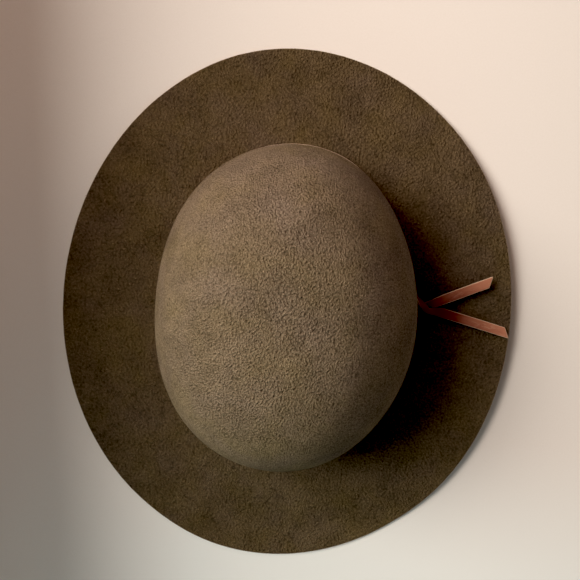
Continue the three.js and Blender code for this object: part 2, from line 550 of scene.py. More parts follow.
class Surface(NodeSheet):
    """A material's tree, with short calls for its nodes."""

    def __init__(self, name: str) -> None:
        """Starts a material that has one shader.

        Args:
            name: The material's name.
        """
        self.material = bpy.data.materials.new(name)
        self.material.use_nodes = True
        self.tree = self.material.node_tree
        self.shader = self.tree.nodes["Principled BSDF"]
        self.place = self.add("ShaderNodeTexCoord").outputs["Object"]

    def set(self, **values: object) -> None:
        """Sets the shader's own sockets, named with _ for each space."""
        for name, value in values.items():
            feed(self.tree, value, self.shader.inputs[name.replace("_", " ")])

    def pebbles(self, scale: float, softness: float, steepness: float = 1.3) -> Field:
        """A pattern of round, crowded grains, from about -0.5 between them to 0.5 on them.

        Args:
            scale: Grains to the metre.
            softness: How far the grains run into each other.
            steepness: How fast a grain falls away from its middle.

        Returns:
            The pattern.
        """
        inputs = {"Vector": self.place, "Scale": scale, "Smoothness": softness}
        node = self.add("ShaderNodeTexVoronoi", inputs, feature="SMOOTH_F1")
        return 0.5 - Field(self.tree, first_socket(node.outputs, "Distance")) * steepness

    def attribute(self, name: str) -> Node:
        """The node that reads an attribute of the piece."""
        return self.add("ShaderNodeAttribute", attribute_name=name)

    def number(self, name: str) -> Field:
        """An attribute of the piece as a number."""
        return Field(self.tree, self.attribute(name).outputs["Fac"])

    def mix(self, share: Value, first: object, second: object) -> NodeSocket:
        """Mixes two colours.

        Args:
            share: How much of the second, from 0 to 1.
            first: A colour or a socket.
            second: A colour or a socket.

        Returns:
            The mixed colour.
        """
        node = add_node(self.tree, "ShaderNodeMix", data_type="RGBA")
        feed(self.tree, share, first_socket(node.inputs, "Factor"))
        for value, slot in ((first, "A"), (second, "B")):
            colour = (*value, 1.0) if isinstance(value, tuple) else value
            feed(self.tree, colour, first_socket(node.inputs, slot))
        return first_socket(node.outputs, "Result")

    def bump(self, height: Field, distance: float) -> NodeSocket:
        """Turns a height pattern into small relief, distance deep for a height of 1."""
        inputs = {"Strength": 1.0, "Distance": distance, "Height": height}
        return self.add("ShaderNodeBump", inputs).outputs[0]


@dataclass(frozen=True)
class WoolFelt:
    """Wool felt: a matt, mottled mat of curled fibres, painted paler on the crown and darker on the
    brim as painted light and shade.

    A scale counts features to the metre, or is a share of the crown's grain. A share says how
    much of a pattern goes into the tone, and a height how much goes into the relief.
    """

    name: str = "wool_felt"
    # Painted light and shade: the crown's colours are paler than the brim's, as if the crown caught
    # more light and the brim lay in shade.
    shaded_brim_dark: Colour = (0.057, 0.0440, 0.0245)
    shaded_brim_light: Colour = (0.214, 0.160, 0.092)
    lit_crown_dark: Colour = (0.127, 0.101, 0.064)
    lit_crown_light: Colour = (0.428, 0.340, 0.226)
    cut_pale: Colour = (0.420, 0.335, 0.235)
    crown_grain: float = 1050.0
    brim_grain: float = 720.0
    crown_contrast: float = 1.35
    brim_contrast: float = 1.0
    grain_depth: float = 2.5 * MM
    brim_relief: float = 0.68
    curl_height: float = 0.98
    mat_share: float = 0.85
    tuft_scale: float = 0.9
    tuft_share: float = 0.35
    fuzz_scale: float = 2.2
    fuzz_share: float = 0.5
    fuzz_height: float = 0.3
    cloud_scale: float = 55.0
    cloud_share: float = 0.6
    fleck_scale: float = 0.7
    fleck_from: float = 0.26
    fleck_light: float = 4.0
    middle_tone: float = 0.42
    hue_scale: float = 0.75
    hue_spread: float = 0.029
    depth_spread: float = 0.4
    # The painted light tint's rate, its most and its share on the brim.
    light_tint_drift: float = 0.11
    most_light_tint: float = 0.011
    brim_light_tint: float = 0.35
    brim_from: float = 0.86
    brim_rate: float = 2.2
    cut_from: float = 2.992
    cut_rate: float = 250.0
    most_cut: float = 0.75
    roughness: float = 0.95
    gloss: float = 0.05

    def curls(self, surface: Surface, scale: float) -> Field:
        """The felt's grain: matted curls of wool in crowded tufts.

        Args:
            surface: The material's tree.
            scale: Curls to the metre.

        Returns:
            The pattern, about 0.
        """
        mat = surface.noise(scale, detail=2.5, rough=0.7, twist=0.15)
        tufts = surface.pebbles(scale * self.tuft_scale, softness=0.3)
        return mat * self.mat_share + tufts * self.tuft_share

    def make(self) -> Material:
        """Builds the material.

        Returns:
            The felt's material.
        """
        surface = Surface(self.name)
        from_top = surface.number("from_top")
        on_brim = ramp(from_top, self.brim_from, self.brim_rate)
        crown_curls = self.curls(surface, self.crown_grain)
        curls = blend(crown_curls, self.curls(surface, self.brim_grain), on_brim)
        fuzz = surface.noise(self.crown_grain * self.fuzz_scale, detail=1.0)
        cloud = surface.noise(self.cloud_scale, detail=3.0, rough=0.6)
        hue = surface.noise(self.cloud_scale * self.hue_scale, detail=2.0, twist=0.4)
        fleck = surface.noise(self.crown_grain * self.fleck_scale, detail=0.0)
        light = (fleck - self.fleck_from).run(Op.MAXIMUM, 0.0) * self.fleck_light
        strong = blend(self.crown_contrast, self.brim_contrast, on_brim)
        tone = (curls + fuzz * self.fuzz_share) * strong + cloud * self.cloud_share
        # Painted light tint: the hue is shifted redder towards the back and greener towards the front,
        # for warm light from the back and cool light from the front. The shift is weaker on the brim.
        to_back = surface.split(surface.place)[1]
        light_tint = between(to_back * self.light_tint_drift, -self.most_light_tint, self.most_light_tint)
        light_tint = light_tint * blend(1.0, self.brim_light_tint, on_brim)
        # Painted light and shade: the colours run from the crown's paler ones to the brim's darker
        # ones.
        dark = surface.mix(on_brim, self.lit_crown_dark, self.shaded_brim_dark)
        pale = surface.mix(on_brim, self.lit_crown_light, self.shaded_brim_light)
        tinted = {
            "Hue": hue * self.hue_spread - light_tint + 0.5,
            "Saturation": hue * self.depth_spread + 1.0,
            "Color": surface.mix(unit(tone + light + self.middle_tone), dark, pale),
        }
        mottled = surface.add("ShaderNodeHueSaturation", tinted).outputs[0]
        # The cut edge is paler. This is partly the felt's own paler cut and partly a painted highlight
        # of light bounced onto the rim.
        at_cut = ramp(from_top, self.cut_from, self.cut_rate, self.most_cut)
        height = curls * self.curl_height + fuzz * self.fuzz_height
        relief = height * blend(1.0, self.brim_relief, on_brim)
        surface.set(
            Base_Color=surface.mix(at_cut, mottled, self.cut_pale),
            Normal=surface.bump(relief, self.grain_depth),
            Roughness=self.roughness,
            Specular_IOR_Level=self.gloss,
        )
        return surface.material


@dataclass(frozen=True)
class WoolFibre:
    """Loose wool fibres that stand off the felt, some paler than the rest."""

    name: str = "wool_fibre"
    dark: Colour = (0.12, 0.09, 0.055)
    pale: Colour = (0.38, 0.31, 0.22)
    roughness: float = 0.8
    gloss: float = 0.2

    def make(self) -> Material:
        """Builds the material.

        Returns:
            The fibres' material.
        """
        surface = Surface(self.name)
        shade = surface.number("shade")
        surface.set(
            Base_Color=surface.mix(shade * shade, self.dark, self.pale),
            Roughness=self.roughness,
            Specular_IOR_Level=self.gloss,
        )
        return surface.material


@dataclass(frozen=True)
class LaceLeather:
    """Cognac leather with a soft sheen, a fine grain and paler cut edges. Painted shade darkens it at
    the knot and towards the tails' roots, and its pale rubbed patches are partly wear and partly a
    painted sheen.

    A scale counts features to the metre. A share says how much of a pattern or a place goes
    into the tone, and a height how much goes into the relief.
    """

    name: str = "lace_leather"
    deep: Colour = (0.17, 0.037, 0.018)
    warm: Colour = (0.465, 0.202, 0.125)
    # The worn colour is partly wear and partly a painted sheen.
    worn: Colour = (0.575, 0.335, 0.232)
    edge: Colour = (0.78, 0.610, 0.450)
    # The knot colour is painted shade, for the deep shade in the knot.
    knot: Colour = (0.06, 0.012, 0.009)
    grain_stretch: Tuple[float, float, float] = (0.35, 1.0, 1.0)
    root_shade_reach: float = 52 * MM
    knot_place: float = 54 * MM
    knot_reach: float = 20 * MM
    dye_scale: float = 160.0
    dye_share: float = 1.1
    pore_scale: float = 1900.0
    pore_share: float = 0.35
    pore_height: float = 0.6
    rub_scale: float = 420.0
    rub_height: float = 0.5
    root_shade_depth: float = 0.9
    knot_shade_tone: float = 0.5
    middle_tone: float = 0.24
    wear_and_sheen_from: float = 0.06
    wear_and_sheen_rate: float = 3.2
    most_wear_and_sheen: float = 0.75
    edge_light: float = 0.9
    edge_rub: float = 0.8
    edge_shade_at_knot: float = 0.85
    knot_shade_mix: float = 0.6
    relief: float = 0.12 * MM
    roughness: float = 0.46
    gloss: float = 0.4

    def make(self) -> Material:
        """Builds the material.

        Returns:
            The leather's material.
        """
        surface = Surface(self.name)
        strap = surface.attribute("strap").outputs["Vector"]
        stretched = surface.add("ShaderNodeVectorMath", {"Vector": strap}, operation="MULTIPLY")
        stretched.inputs[1].default_value = self.grain_stretch
        grain = stretched.outputs[0]
        dye = surface.noise(self.dye_scale, detail=3.0, rough=0.55, place=grain)
        rubbed = surface.noise(self.rub_scale, detail=3.0, rough=0.65, twist=0.6, place=grain)
        pores = surface.noise(self.pore_scale, detail=2.0, rough=0.6, place=strap)
        from_end = surface.number("from_end")
        # Painted shade: the tone is darker towards the tails' roots, where the crown's shadow falls,
        # and lighter towards their tips.
        out_of_root_shade = unit(1.0 - from_end / self.root_shade_reach)
        # Painted shade at the knot: near it the tone drops, the pale edges and rubbed patches fade,
        # and the colour mixes towards the dark knot colour.
        off_knot = (from_end - self.knot_place) / self.knot_reach
        in_knot_shade = exponential(off_knot * off_knot * -1.0)
        tone = dye * self.dye_share + pores * self.pore_share + out_of_root_shade * out_of_root_shade * self.root_shade_depth
        tone = unit(tone - in_knot_shade * self.knot_shade_tone + self.middle_tone)
        # The pale rubbed patches are partly wear and partly a painted sheen.
        wear_and_sheen = ramp(rubbed, self.wear_and_sheen_from, self.wear_and_sheen_rate, self.most_wear_and_sheen)
        rubbed_edge = rubbed * self.edge_rub + self.edge_light
        pale = unit(surface.number("cut") * rubbed_edge * (1.0 - in_knot_shade * self.edge_shade_at_knot))
        base = surface.mix(tone, self.deep, self.warm)
        rubbed_and_sheen = surface.mix(wear_and_sheen * (1.0 - in_knot_shade), base, self.worn)
        knot_shaded = surface.mix(in_knot_shade * self.knot_shade_mix, rubbed_and_sheen, self.knot)
        height = pores * self.pore_height + rubbed * self.rub_height
        surface.set(
            Base_Color=surface.mix(pale, knot_shaded, self.edge),
            Normal=surface.bump(height, self.relief),
            Roughness=self.roughness,
            Specular_IOR_Level=self.gloss,
        )
        return surface.material


@dataclass(frozen=True)
class PaleFloor:
    """A pale painted board with a faint grain of roller marks, with a cooler tint at the front that is
    painted cool light.
    """

    name: str = "pale_floor"
    dark: Colour = (0.80, 0.775, 0.74)
    pale: Colour = (0.84, 0.82, 0.79)
    front: Colour = (0.82, 0.865, 0.855)
    front_from: float = -0.08
    left_from: float = -0.15
    fade: float = 0.10
    speck_scale: float = 900.0
    cloud_scale: float = 3.0
    mark_scale: float = 700.0
    relief: float = 0.03 * MM
    roughness: float = 0.6
    gloss: float = 0.25

    def make(self) -> Material:
        """Builds the material.

        Returns:
            The floor's material.
        """
        surface = Surface(self.name)
        specks = surface.noise(self.speck_scale, detail=2.0)
        tone = unit(specks + surface.noise(self.cloud_scale, detail=1.0) + 0.5)
        x, y, _ = surface.split(surface.place)
        # Painted light: a cooler tint at the front, away from the left edge, stands in for cool light
        # falling there.
        at_front = unit((self.front_from - y) / self.fade)
        tinted = at_front * unit((x - self.left_from) / self.fade)
        surface.set(
            Base_Color=surface.mix(tinted, surface.mix(tone, self.dark, self.pale), self.front),
            Normal=surface.bump(surface.noise(self.mark_scale, detail=2.0), self.relief),
            Roughness=self.roughness,
            Specular_IOR_Level=self.gloss,
        )
        return surface.material


@dataclass(frozen=True)
class PaleWall:
    """A pale wall far behind that glows with its own light as painted light, a little darker towards
    its foot as painted shade.
    """

    name: str = "pale_wall"
    low: Colour = (0.56, 0.50, 0.45)
    high: Colour = (0.78, 0.72, 0.66)
    fade: float = 0.9

    def make(self) -> Material:
        """Builds the material.

        Returns:
            The wall's material.
        """
        surface = Surface(self.name)
        height = surface.split(surface.place)[2]
        # Painted light: the wall glows by emission, painted darker towards its foot as painted shade.
        surface.set(
            Base_Color=(0.0, 0.0, 0.0, 1.0),
            Specular_IOR_Level=0.0,
            Emission_Color=surface.mix(unit(height / self.fade), self.low, self.high),
            Emission_Strength=1.0,
        )
        return surface.material


@dataclass(frozen=True)
class Wave:
    """A gentle wave round an outline."""

    lobes: int
    swell: float
    turn_degrees: float

    def at(self, angle: Value) -> Value:
        """How far it swells at an angle."""
        return cosine((angle - math.radians(self.turn_degrees)) * float(self.lobes)) * self.swell


@dataclass(frozen=True)
class Dent:
    """A soft hollow or swell of the crown: its place in plan, its lie, its reach and its push."""

    x: float
    y: float
    lie_degrees: float
    along: float
    across: float
    push: float

    def at(self, x: Value, y: Value) -> Value:
        """How far it pushes out at a place in plan.

        Args:
            x: The place.
            y: The place.

        Returns:
            The push.
        """
        lie = math.radians(self.lie_degrees)
        off_x, off_y = x - self.x, y - self.y
        along = (off_x * math.cos(lie) + off_y * math.sin(lie)) * (1 / self.along)
        across = (off_y * math.cos(lie) - off_x * math.sin(lie)) * (1 / self.across)
        return exponential((along * along + across * across) * -1.0) * self.push


def wave_sum(waves: Sequence[Wave], angle: Value) -> Value:
    """How far waves together swell an outline at an angle."""
    return sum((wave.at(angle) for wave in waves), 0.0)


def oval(half_x: Value, half_y: Value, swell: Value, angle: Value) -> Point2:
    """A point in plan of an oval that swells by an amount."""
    return (half_x + swell) * cosine(angle), (half_y + swell) * sine(angle)


@dataclass(frozen=True)
class FeltForm:
    """The rule that the blocked felt follows. Each size is a number, or a field in a tree."""

    crown_half_width: Value = 83.1 * MM
    crown_half_length: Value = 103.3 * MM
    crown_height: Value = 108 * MM
    crown_squareness: Value = 2.45
    fold_height: Value = 10 * MM
    fold_radius: Value = 2.5 * MM
    brim_half_width: Value = 151.6 * MM
    brim_half_length: Value = 175.9 * MM
    brim_side_lift: Value = 9 * MM
    brim_end_drop: Value = 4.5 * MM
    brim_curve: Value = 1.5
    rest_softness: Value = 1.5 * MM
    thickness: Value = 2.3 * MM
    crown_shift: Tuple[float, float] = (-1.15 * MM, 5.4 * MM)
    crown_turn_degrees: float = 0.88
    heart_height: float = 40 * MM
    crown_waves: Tuple[Wave, ...] = (
        Wave(3, 0.71 * MM, -16.1),
        Wave(4, 0.57 * MM, -38.7),
        Wave(5, 0.38 * MM, -2.9),
    )
    crown_dents: Tuple[Dent, ...] = (
        Dent(-6 * MM, 1 * MM, 0, 34 * MM, 34 * MM, -1.6 * MM),
        Dent(-5 * MM, -31 * MM, 0, 20 * MM, 14 * MM, 0.5 * MM),
        Dent(-39 * MM, -42 * MM, -46, 22 * MM, 7 * MM, 0.8 * MM),
        Dent(54 * MM, 2 * MM, 90, 52 * MM, 20 * MM, -1.6 * MM),
    )
    brim_waves: Tuple[Wave, ...] = (
        Wave(3, 0.36 * MM, -6.8),
        Wave(4, 0.54 * MM, -45),
        Wave(5, 0.44 * MM, -34.6),
    )
    brim_ripples: Tuple[Wave, ...] = (Wave(3, 0.3 * MM, 0), Wave(4, 0.4 * MM, 45))

    def crown_foot(self, angle: Value) -> Point2:
        """The crown's outline at its foot.

        Args:
            angle: The angle round the crown.

        Returns:
            The point in plan.
        """
        swell = wave_sum(self.crown_waves, angle)
        x, y = oval(self.crown_half_width, self.crown_half_length, swell, angle)
        turn = math.radians(self.crown_turn_degrees)
        shift_x, shift_y = self.crown_shift
        return (
            x * math.cos(turn) - y * math.sin(turn) + shift_x,
            x * math.sin(turn) + y * math.cos(turn) + shift_y,
        )

    def beside_foot(self, angle: Value, distance: Value) -> Point2:
        """The crown's outline moved outwards, square to itself.

        Args:
            angle: The angle round the crown.
            distance: How far out.

        Returns:
            The point in plan.
        """
        ahead_x, ahead_y = self.crown_foot(angle + OUTLINE_STEP)
        behind_x, behind_y = self.crown_foot(angle - OUTLINE_STEP)
        along_x = ahead_x - behind_x
        along_y = ahead_y - behind_y
        length = square_root(along_x * along_x + along_y * along_y)
        x, y = self.crown_foot(angle)
        return x + along_y / length * distance, y - along_x / length * distance

    def brim_edge(self, angle: Value) -> Point2:
        """The brim's outline in plan, at an angle round the brim."""
        swell = wave_sum(self.brim_waves, angle)
        return oval(self.brim_half_width, self.brim_half_length, swell, angle)

    def settle(self, lift: Value) -> Value:
        """Bends a height softly into the resting surface.

        Args:
            lift: The height, below 0 where the felt rests.

        Returns:
            The height, 0 where the felt rests.
        """
        soft = self.rest_softness
        near = between(lift, -1.0 * soft, soft) + soft
        return near * near / (soft * 4.0) + unit(lift - soft)

    def face(self, angle: Value, along: Value) -> Point3:
        """A point of the felt's upper face.

        Args:
            angle: The angle round the hat.
            along: 0 at the top of the crown, 1 at the foot of its wall, 2 where the fold
                meets the brim and 3 at the cut edge.

        Returns:
            The point.
        """
        wall, fold, brim = unit(along), unit(along - 1.0), unit(along - 2.0)
        lowest = arcsine((self.fold_radius / self.crown_height) ** (self.crown_squareness / 2.0))
        climb = (lowest - QUARTER) * wall + QUARTER
        power = 2.0 / self.crown_squareness
        share = unit(cosine(climb) / cosine(lowest)) ** power
        bend = fold * QUARTER + math.pi
        foot_x, foot_y = self.beside_foot(angle, self.fold_radius * (cosine(bend) + 1.0))
        edge_x, edge_y = self.brim_edge(angle)
        middle_x, middle_y = self.crown_shift
        x = blend(middle_x, blend(foot_x, edge_x, brim), share)
        y = blend(middle_y, blend(foot_y, edge_y, brim), share)
        sideways = cosine(angle) * cosine(angle)
        edge_lift = self.brim_side_lift * sideways - self.brim_end_drop * (1.0 - sideways)
        edge_lift = edge_lift + wave_sum(self.brim_ripples, angle)
        lift = blend(self.fold_height - self.thickness, edge_lift, brim**self.brim_curve)
        z = (
            self.crown_height * unit(sine(climb)) ** power
            + self.fold_radius * sine(bend)
            + self.thickness
            + self.settle(lift)
        )
        off_x, off_y, off_z = x - middle_x, y - middle_y, z - self.heart_height
        reach = square_root(off_x * off_x + off_y * off_y + off_z * off_z)
        push = sum((dent.at(x, y) for dent in self.crown_dents), 0.0) / reach
        return x + off_x * push, y + off_y * push, z + off_z * push


@dataclass
class FeltBody:
    """The felt: an open round crown and a wide brim with a raw cut edge, in one wall."""

    form: FeltForm
    finish: Material
    sides: int = 320
    crown_rings: int = 60
    fold_rings: int = 6
    brim_rings: int = 34
    edge_round: float = 0.45 * MM
    corner_share: float = 0.3
    brim_width: float = 68.5 * MM
    unevenness: float = 0.22 * MM
    uneven_scale: float = 26.0
    even_from: float = 2.0
    even_rate: float = 4.0
    raggedness: float = 0.5 * MM
    ragged_scale: float = 150.0
    ragged_from: float = 2.985
    ragged_rate: float = 66.0
    seed: float = 7.3

    def stations(self) -> List[float]:
        """The rings of the upper face, by how far they lie along it.

        Returns:
            The places, from just off the top of the crown to the cut edge.
        """
        crown = [i / self.crown_rings for i in range(1, self.crown_rings + 1)]
        fold = [1 + i / self.fold_rings for i in range(1, self.fold_rings + 1)]
        brim = [2 + i / self.brim_rings for i in range(1, self.brim_rings)]
        insets = (1.0, self.corner_share, 0.0)
        corner = [3 - inset * self.edge_round / self.brim_width for inset in insets]
        return crown + fold + brim + corner

    def ring(self, along: float, depth: float = 0.0, twin: Optional[int] = None) -> np.ndarray:
        """One ring of the pattern.

        Args:
            along: How far it lies along the face.
            depth: How deep it lies under the face.
            twin: The first point of the guide's ring that it hangs from, if it hangs.

        Returns:
            A row for each point: its angle, its along, its depth and its twin.
        """
        steps = np.arange(self.sides)
        flat = np.zeros(self.sides)
        twins = flat if twin is None else steps + twin
        return np.column_stack([steps * (2 * math.pi / self.sides), flat + along, flat + depth, twins])

    def pattern(self) -> Mesh:
        """The felt's flat pattern: a guide sheet for the upper face, and the closed wall.

        Each point holds its angle and how far it lies along the face. A point of the wall
        also holds its depth and the point of the guide sheet that it hangs from.

        Returns:
            The mesh, with every point still at the origin's level.
        """
        stations = self.stations()
        count, sides = len(stations), self.sides
        thickness = float(self.form.thickness)
        corner, cut = self.edge_round, self.corner_share * self.edge_round
        wall = [(i, 0.0) for i in range(count - 2)]
        wall += [(count - 2, cut), (count - 1, corner), (count - 1, thickness / 2)]
        wall += [(count - 1, thickness - corner), (count - 2, thickness - cut)]
        wall += [(i, thickness) for i in range(count - 3, -1, -1)]
        pole = np.zeros((1, 4))
        guide = [self.ring(station) for station in stations]
        shell = [self.ring(stations[i], deep, 1 + i * sides) for i, deep in wall]
        rows = np.vstack([pole, *guide, pole, *shell, [(0.0, 0.0, thickness, 0.0)]])
        first, last = 1 + count * sides, len(rows) - 1
        rim = last - sides
        faces = ring_faces(0, count, sides) + ring_faces(first, len(wall), sides)
        faces += [(rim + side, last, rim + (side + 1) % sides) for side in range(sides)]
        angle, along, depth, twin = rows.T
        points = np.column_stack([np.cos(angle) * along, np.sin(angle) * along, angle * 0])
        mesh = mesh_from("felt_pattern", points, faces)
        for name, values in (("angle", angle), ("from_top", along), ("depth", depth)):
            keep_attribute(mesh, name, values)
        island = np.where(np.arange(len(rows)) < first, Island.GUIDE.value, Island.WALL.value)
        keep_attribute(mesh, "twin", twin, Kind.COUNT)
        keep_attribute(mesh, "island", island, Kind.COUNT)
        return mesh

    def block(self) -> Object:
        """Blocks the pattern into the hat's form with a node tree.

        Returns:
            The felt as one closed wall.
        """
        tree = GeometryTree("blocked_felt")
        sizes = {
            size.name: tree.length(size.name.replace("_", " ").title(), getattr(self.form, size.name))
            for size in fields(self.form)
            if size.type == Value
        }
        form = replace(self.form, **sizes)
        unevenness = tree.length("Unevenness", self.unevenness)
        raggedness = tree.length("Edge Raggedness", self.raggedness)
        seed = tree.length("Seed", self.seed)
        islands = tree.add(
            "GeometryNodeSeparateGeometry",
            {"Geometry": tree.mesh, "Selection": tree.attribute("island", Kind.COUNT)},
            domain="POINT",
        )
        wall, guide = islands.outputs[0], islands.outputs[1]
        along, angle = tree.number("from_top"), tree.number("angle")
        blocked = tree.put(guide, tree.vector(*form.face(angle, along)))
        uneven_share = 1.0 - ramp(along, self.even_from, self.even_rate)
        soft = unevenness * tree.noise(self.uneven_scale, seed=seed) * uneven_share
        uneven = tree.shift(blocked, tree.scaled(tree.normal(), soft))
        twin = tree.attribute("twin", Kind.COUNT)
        place = tree.at_point(uneven, tree.position(), twin)
        normal = tree.at_point(uneven, tree.normal(), twin)
        inwards = tree.scaled(normal, tree.number("depth") * -1.0)
        walled = tree.put(wall, tree.sum(place, inwards))
        at_edge = ramp(along, self.ragged_from, self.ragged_rate)
        fray = raggedness * tree.noise(self.ragged_scale, detail=3.0, seed=seed) * at_edge
        frayed = tree.shift(walled, tree.vector(fray * cosine(angle), fray * sine(angle), 0.0))
        return tree.run(self.pattern(), frayed, "felt_hat", self.finish)

    def build(self) -> Object:
        """Builds the felt and lets it stand for its CAD solid."""
        return settle_piece(self.block(), "felt", "felt_body")


def ring_faces(first: int, rings: int, sides: int) -> List[Tuple[int, ...]]:
    """The faces between a pole and the rings that follow it.

    Args:
        first: The pole's place among the points. The rings follow it.
        rings: How many rings there are.
        sides: How many points each ring has.

    Returns:
        The faces, facing up where the rings widen.
    """
    faces: List[Tuple[int, ...]] = []
    start = first + 1
    for side in range(sides):
        after = (side + 1) % sides
        faces.append((first, start + side, start + after))
        for ring in range(rings - 1):
            near = start + ring * sides
            far = near + sides
            faces.append((near + side, far + side, far + after, near + after))
    return faces


@dataclass
class Nap:
    """Loose curled fibres that stand off the felt, scattered by a node tree."""

    finish: Material
    to_square_metre: float = 90000.0
    fibre_length: float = 1.9 * MM
    fibre_radius: float = 0.022 * MM
    smallest: float = 0.45
    largest: float = 1.25
    curl: float = 0.35 * MM
    lowest_tilt_degrees: float = 35.0
    highest_tilt_degrees: float = 86.0
    inside_depth: float = 1.0 * MM
    inside_rate: float = 4000.0
    inside_loss: float = 0.8
    clear_height: float = 1.6 * MM
    clear_rate: float = 2000.0
    seed: int = 5

    def fibre(self, tree: GeometryTree) -> NodeSocket:
        """One curled fibre, tapered to a point, with its root at the origin.

        Args:
            tree: The tree to add it to.

        Returns:
            The fibre's mesh.
        """
        length = tree.length("Fibre Length", self.fibre_length)
        curl = tree.length("Curl", self.curl)
        cone = tree.add(
            "GeometryNodeMeshCone",
            {
                "Vertices": 3,
                "Side Segments": 2,
                "Radius Top": 0.0,
                "Radius Bottom": tree.length("Fibre Radius", self.fibre_radius),
                "Depth": length,
            },
            fill_type="NGON",
        )
        share = tree.split(tree.position())[2] / length
        bow = curl * share * (share - 1.0) * -4.0
        return tree.shift(first_socket(cone.outputs, "Mesh"), tree.vector(bow, 0.0, 0.0))

    def random(self, tree: GeometryTree, low: float, high: float, turn: int) -> Field:
        """A random number for each fibre.

        Args:
            tree: The tree to add it to.
            low: The lowest.
            high: The highest.
            turn: Which of the piece's random numbers it is.

        Returns:
            The number.
        """
        inputs = {"Min": low, "Max": high, "Seed": self.seed + turn}
        node = tree.add("FunctionNodeRandomValue", inputs, data_type=Kind.NUMBER.value)
        return Field(tree.tree, first_socket(node.outputs, "Value"))

    def build(self, felt: Object) -> Object:
        """Scatters the fibres over the felt.

        Args:
            felt: The felt.

        Returns:
            The piece.
        """
        tree = GeometryTree("felt_nap")
        density = tree.length("Fibres to the Square Metre", self.to_square_metre)
        inside = ramp(tree.number("depth"), self.inside_depth, self.inside_rate)
        clear = ramp(tree.split(tree.position())[2], self.clear_height, self.clear_rate)
        cover = density * (1.0 - inside * self.inside_loss) * clear
        scattered = tree.add(
            "GeometryNodeDistributePointsOnFaces",
            {"Mesh": tree.mesh, "Density": cover, "Seed": self.seed},
        )
        size = self.random(tree, self.smallest, self.largest, 1)
        placed = tree.add(
            "GeometryNodeInstanceOnPoints",
            {
                "Points": first_socket(scattered.outputs, "Points"),
                "Instance": self.fibre(tree),
                "Rotation": first_socket(scattered.outputs, "Rotation"),
                "Scale": tree.vector(size, size, size),
            },
        )
        low, high = math.radians(self.lowest_tilt_degrees), math.radians(self.highest_tilt_degrees)
        spun = placed.outputs[0]
        spin = tree.vector(0.0, 0.0, self.random(tree, 0.0, 2 * math.pi, 2))
        tilt = tree.vector(self.random(tree, low, high, 3), 0.0, 0.0)
        for turn in (spin, tilt):
            inputs = {"Instances": spun, "Rotation": turn}
            spun = tree.add("GeometryNodeRotateInstances", inputs).outputs[0]
        shade = self.random(tree, 0.0, 1.0, 4)
        shaded = tree.store(spun, "shade", shade, domain=Domain.INSTANCE)
        piece = tree.run(felt.data.copy(), shaded, "felt_nap", self.finish)
        return settle_piece(piece, "felt")


@dataclass(frozen=True)
class StrapRow:
    """A place on the lace, in millimetres, and how it stands there, in degrees.

    A strap that stands at 0 lies flat, and one at 90 stands on its edge against the wall.
    """

    x: float
    y: float
    z: float
    width: float
    stand: float


OVER_STRAND = (
    StrapRow(147.9, -0.8, 13.8, 6.4, 0),
    StrapRow(129, 3.4, 14, 6.4, 0),
    StrapRow(110, 7.6, 14.2, 6.4, 0),
    StrapRow(101, 9.5, 14.4, 6.2, 0),
    StrapRow(97, 9.7, 15, 5.3, 0),
    StrapRow(93.8, 9.6, 16.4, 4, 0),
    StrapRow(91.4, 11, 17.6, 4.2, 5),
    StrapRow(89.2, 13.2, 18.2, 4.6, 25),
    StrapRow(86.4, 16.4, 17.5, 5.2, 55),
    StrapRow(83.6, 21, 16.4, 6.2, 85),
)
UNDER_STRAND = (
    StrapRow(132.5, 32.2, 17, 6.4, 0),
    StrapRow(122, 27.4, 17.1, 6.4, 0),
    StrapRow(111, 22.2, 17.2, 6.4, 0),
    StrapRow(101, 17.4, 17, 6.2, 0),
    StrapRow(97, 15.3, 16.2, 5.3, 0),
    StrapRow(93.9, 14.3, 14.9, 4, 0),
    StrapRow(91.6, 12.4, 14.1, 4.2, 5),
    StrapRow(89.4, 9.8, 13.6, 4.6, 22),
    StrapRow(86.8, 6.2, 14, 5.2, 55),
    StrapRow(84.5, 1, 15.2, 6.2, 85),
)

RAIL_VALUES = {
    "across": Kind.VECTOR,
    "outer": Kind.VECTOR,
    "width": Kind.NUMBER,
    "slant": Kind.NUMBER,
    "travel": Kind.NUMBER,
    "from_end": Kind.NUMBER,
}


